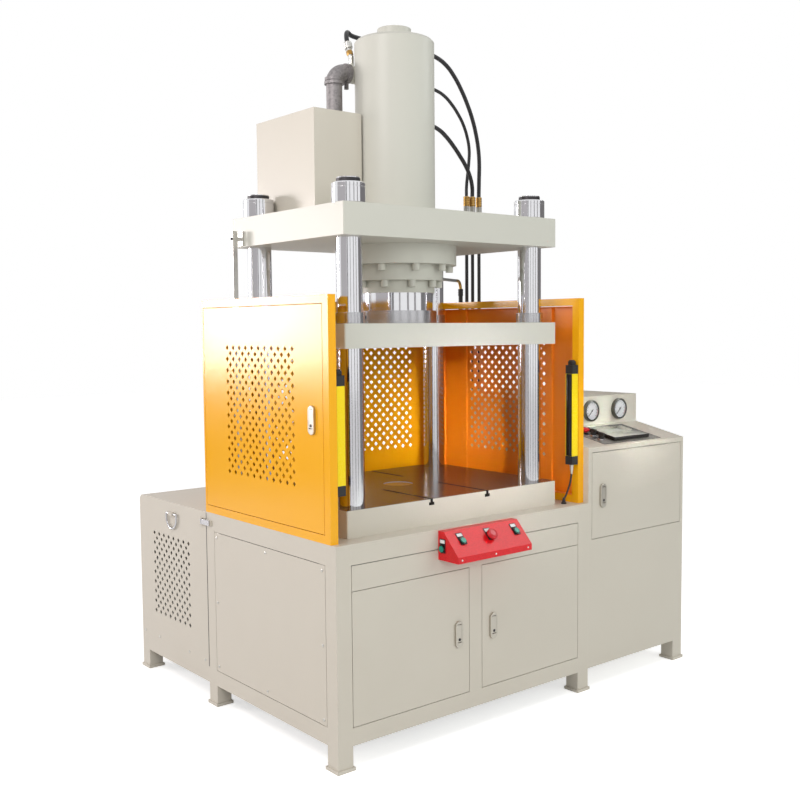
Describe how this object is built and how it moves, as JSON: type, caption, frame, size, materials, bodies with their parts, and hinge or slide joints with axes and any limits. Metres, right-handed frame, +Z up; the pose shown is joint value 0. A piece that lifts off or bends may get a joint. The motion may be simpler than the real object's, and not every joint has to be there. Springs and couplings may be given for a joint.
{
  "type": "four-column hydraulic press",
  "caption": "Hydraulic press with chromed columns, moving platen under a main cylinder, perforated guards, control cabinet and a hooded power unit behind the base.",
  "frame": {"origin": "on the floor under the middle of the machine's bounding box", "axes": "+Z up, +X to the right along the front, +Y to the back"},
  "size_m": [1.982, 1.656, 2.7773],
  "materials": {
    "cream_paint": "semi-gloss warm grey-cream paint",
    "bolster_steel": "ground plate with painted sides",
    "chrome": "hard chrome, polished",
    "bright_steel": "machined steel",
    "desk_plate": "brushed plate with a dark screen frame",
    "zinc": "zinc plated",
    "grey_paint": "grey paint",
    "hose_rubber": "black rubber",
    "amber_paint": "gloss amber powder coat",
    "curtain_yellow": "gloss yellow",
    "black_plastic": "black plastic",
    "red_paint": "red hammer finish",
    "red_plastic": "red plastic",
    "green_plastic": "teal-green plastic"
  },
  "bodies": {
    "machine": {"base_legs": "cream_paint", "base_rails": "cream_paint", "deck_plate": "cream_paint", "side_panel": "cream_paint", "hinge_pins": "bright_steel", "bolster": "bolster_steel", "columns": "chrome", "column_nuts": "chrome", "crown": "cream_paint", "cylinder_barrel": "cream_paint", "cylinder_head": "cream_paint", "flange_bolts": "bright_steel", "ejector_cylinder": "grey_paint", "prefill_tank": "cream_paint", "suction_pipe": "zinc", "hose_fittings": "zinc", "riser_tubes": "hose_rubber", "hose_top": "hose_rubber", "hose_upper": "hose_rubber", "hose_lower": "hose_rubber", "guard_left": "amber_paint", "guard_right": "amber_paint", "guard_back": "amber_paint", "guard_panel_right": "amber_paint", "light_curtains": "curtain_yellow", "curtain_brackets": "black_plastic", "curtain_cable": "hose_rubber", "sensor_rail": "zinc", "control_box": "red_paint", "control_cabinet": "cream_paint", "desk_panel": "desk_plate", "gauges": "black_plastic", "rear_hood": "cream_paint", "oil_tank": "grey_paint", "power_pack": "grey_paint"},
    "platen": {"platen": "cream_paint", "ram": "chrome", "ram_flange": "bright_steel", "guide_collars": "bright_steel"},
    "ejector": {"ejector": "bright_steel"},
    "front_door_left": {"front_door_left": "cream_paint"},
    "front_door_right": {"front_door_right": "cream_paint"},
    "cabinet_door": {"cabinet_door": "cream_paint"},
    "guard_door_left": {"guard_door_left": "amber_paint"},
    "latch_front_left": {"latch_front_left": "bright_steel"},
    "latch_front_right": {"latch_front_right": "bright_steel"},
    "latch_cabinet": {"latch_cabinet": "bright_steel"},
    "latch_guard": {"latch_guard": "bright_steel"},
    "green_button_left": {"green_button_left": "green_plastic"},
    "green_button_right": {"green_button_right": "green_plastic"},
    "side_button": {"side_button": "green_plastic"},
    "control_estop": {"control_estop": "red_plastic"},
    "cabinet_estop": {"cabinet_estop": "red_plastic"},
    "selector_front": {"selector_front": "black_plastic"},
    "selector_back": {"selector_back": "black_plastic"},
    "gauge_needle_left": {"gauge_needle_left": "black_plastic"},
    "gauge_needle_right": {"gauge_needle_right": "black_plastic"},
    "lifting_ring_left": {"lifting_ring_left": "bright_steel"},
    "lifting_ring_right": {"lifting_ring_right": "bright_steel"},
    "draw_latch_left": {"draw_latch_left": "bright_steel"}
  },
  "joints": [
    {"name": "platen_travel", "type": "slide", "parent": "machine", "child": "platen", "axis": [0, 0, 1], "range_m": [-0.45, 0.06]},
    {"name": "knock_out", "type": "slide", "parent": "machine", "child": "ejector", "axis": [0, 0, 1], "range_m": [0, 0.1]},
    {"name": "front_door_left_hinge", "type": "hinge", "parent": "machine", "child": "front_door_left", "pos_m": [-0.89897, -0.71092, 0.391], "axis": [0, 0, -1], "range_deg": [0, 105]},
    {"name": "front_door_right_hinge", "type": "hinge", "parent": "machine", "child": "front_door_right", "pos_m": [0.24897, -0.71092, 0.391], "axis": [0, 0, 1], "range_deg": [0, 105]},
    {"name": "cabinet_door_hinge", "type": "hinge", "parent": "machine", "child": "cabinet_door", "pos_m": [0.95247, -0.71092, 0.827], "axis": [0, 0, 1], "range_deg": [0, 105]},
    {"name": "guard_door_hinge", "type": "hinge", "parent": "machine", "child": "guard_door_left", "pos_m": [-0.96992, 0.16797, 1.23], "axis": [0, 0, -1], "range_deg": [0, 100]},
    {"name": "latch_front_left_pivot", "type": "hinge", "parent": "front_door_left", "child": "latch_front_left", "pos_m": [-0.4155, -0.7235, 0.422], "axis": [-1, 0, 0], "range_deg": [0, 60], "stiffness_Nm_per_rad": 0.1},
    {"name": "latch_front_right_pivot", "type": "hinge", "parent": "front_door_right", "child": "latch_front_right", "pos_m": [-0.2345, -0.7235, 0.422], "axis": [-1, 0, 0], "range_deg": [0, 60], "stiffness_Nm_per_rad": 0.1},
    {"name": "latch_cabinet_pivot", "type": "hinge", "parent": "cabinet_door", "child": "latch_cabinet", "pos_m": [0.417, -0.7235, 0.859], "axis": [-1, 0, 0], "range_deg": [0, 60], "stiffness_Nm_per_rad": 0.1},
    {"name": "latch_guard_pivot", "type": "hinge", "parent": "guard_door_left", "child": "latch_guard", "pos_m": [-0.9825, -0.5905, 1.262], "axis": [0, 1, 0], "range_deg": [0, 60], "stiffness_Nm_per_rad": 0.1},
    {"name": "green_button_left_press", "type": "slide", "parent": "machine", "child": "green_button_left", "axis": [0, 0.7241, -0.6897], "range_m": [0, 0.004], "stiffness_N_per_m": 900, "springref_m": -0.003},
    {"name": "green_button_right_press", "type": "slide", "parent": "machine", "child": "green_button_right", "axis": [0, 0.7241, -0.6897], "range_m": [0, 0.004], "stiffness_N_per_m": 900, "springref_m": -0.003},
    {"name": "side_button_press", "type": "slide", "parent": "machine", "child": "side_button", "axis": [1, 0, 0], "range_m": [0, 0.004], "stiffness_N_per_m": 900, "springref_m": -0.003},
    {"name": "control_estop_press", "type": "slide", "parent": "machine", "child": "control_estop", "axis": [0, 0.7241, -0.6897], "range_m": [0, 0.004], "stiffness_N_per_m": 900, "springref_m": -0.003},
    {"name": "cabinet_estop_press", "type": "slide", "parent": "machine", "child": "cabinet_estop", "axis": [0, 0.2073, -0.9783], "range_m": [0, 0.004], "stiffness_N_per_m": 900, "springref_m": -0.003},
    {"name": "selector_front_turn", "type": "hinge", "parent": "machine", "child": "selector_front", "pos_m": [0.499, -0.63974, 1.04958], "axis": [0, -0.2073, 0.9783], "range_deg": [-45, 45]},
    {"name": "selector_back_turn", "type": "hinge", "parent": "machine", "child": "selector_back", "pos_m": [0.509, -0.58691, 1.06078], "axis": [0, -0.2073, 0.9783], "range_deg": [-45, 45]},
    {"name": "gauge_needle_left_turn", "type": "hinge", "parent": "machine", "child": "gauge_needle_left", "pos_m": [0.65, -0.4625, 1.156], "axis": [0, 1, 0], "range_deg": [0, 270], "stiffness_Nm_per_rad": 0.0005, "springref_deg": -44.98},
    {"name": "gauge_needle_right_turn", "type": "hinge", "parent": "machine", "child": "gauge_needle_right", "pos_m": [0.849, -0.4625, 1.156], "axis": [0, 1, 0], "range_deg": [0, 270], "stiffness_Nm_per_rad": 0.0005, "springref_deg": -44.98},
    {"name": "lifting_ring_left_swing", "type": "hinge", "parent": "machine", "child": "lifting_ring_left", "pos_m": [-0.984, 0.495, 0.75], "axis": [0, 1, 0], "range_deg": [0, 100]},
    {"name": "lifting_ring_right_swing", "type": "hinge", "parent": "machine", "child": "lifting_ring_right", "pos_m": [0.334, 0.495, 0.75], "axis": [0, -1, 0], "range_deg": [0, 100]},
    {"name": "draw_latch_left_swing", "type": "hinge", "parent": "machine", "child": "draw_latch_left", "pos_m": [-0.986, 0.223, 0.757], "axis": [0, 0, -1], "range_deg": [0, 120]}
  ]
}
